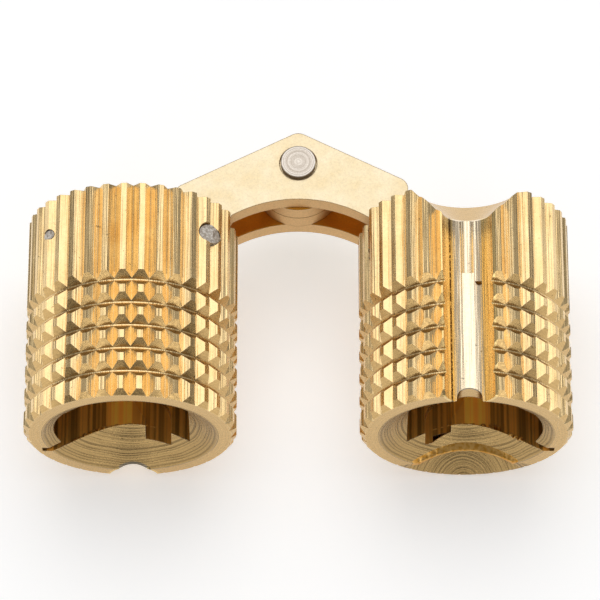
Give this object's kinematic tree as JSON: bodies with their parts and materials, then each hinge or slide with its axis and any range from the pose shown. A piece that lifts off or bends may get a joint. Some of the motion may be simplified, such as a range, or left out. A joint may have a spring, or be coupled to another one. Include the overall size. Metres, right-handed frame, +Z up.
{
  "type": "concealed door hinge",
  "caption": "Concealed hinge of two knurled brass barrels joined by crossed links that fold into slots inside them, shown lying fully open.",
  "frame": {"origin": "On the table under the middle of the open hinge: the centre of the bounding box in X and Y, and its lowest level in Z.", "axes": "+X from the left barrel to the right one, +Y along the barrels towards their mouths and the links, +Z up, square to the links' pivots."},
  "size_m": [0.0412, 0.024, 0.016],
  "materials": {
    "turned_brass": "bare turned and knurled brass with fine tool marks",
    "plate_brass": "bare rolled brass sheet, blanked, with a fine matt grain",
    "pin_steel": "plain steel pin stock with turned ends"
  },
  "bodies": {
    "left_barrel": {"barrel_left": "turned_brass", "pivot_pin_left": "pin_steel", "stop_pin_left": "pin_steel"},
    "link_b": {"link_b_upper_plate": "plate_brass", "link_b_bottom_plate": "plate_brass", "slider_pin_right": "pin_steel"},
    "link_a": {"link_a_top_plate": "plate_brass", "link_a_lower_plate": "plate_brass", "slider_pin_left": "pin_steel", "centre_rivet": "pin_steel"},
    "right_barrel": {"barrel_right": "turned_brass", "pivot_pin_right": "pin_steel", "stop_pin_right": "pin_steel"}
  },
  "joints": [
    {"name": "left_pivot", "type": "hinge", "parent": "left_barrel", "child": "link_b", "pos_m": [-0.00666, 0.00235, 0.008], "axis": [0, 0, 1], "range_deg": [0, 115.6]},
    {"name": "centre_pivot", "type": "hinge", "parent": "link_b", "child": "link_a", "pos_m": [0, 0.00944, 0.008], "axis": [0, 0, 1], "range_deg": [-51.4, 0]},
    {"name": "right_pivot", "type": "hinge", "parent": "link_a", "child": "right_barrel", "pos_m": [0.00666, 0.00235, 0.008], "axis": [0, 0, 1], "range_deg": [0, 115.7]}
  ],
  "couplings": [
    {"joint": "centre_pivot", "follows": "left_pivot", "ratio": -0.4432},
    {"joint": "right_pivot", "follows": "left_pivot", "ratio": 1}
  ]
}
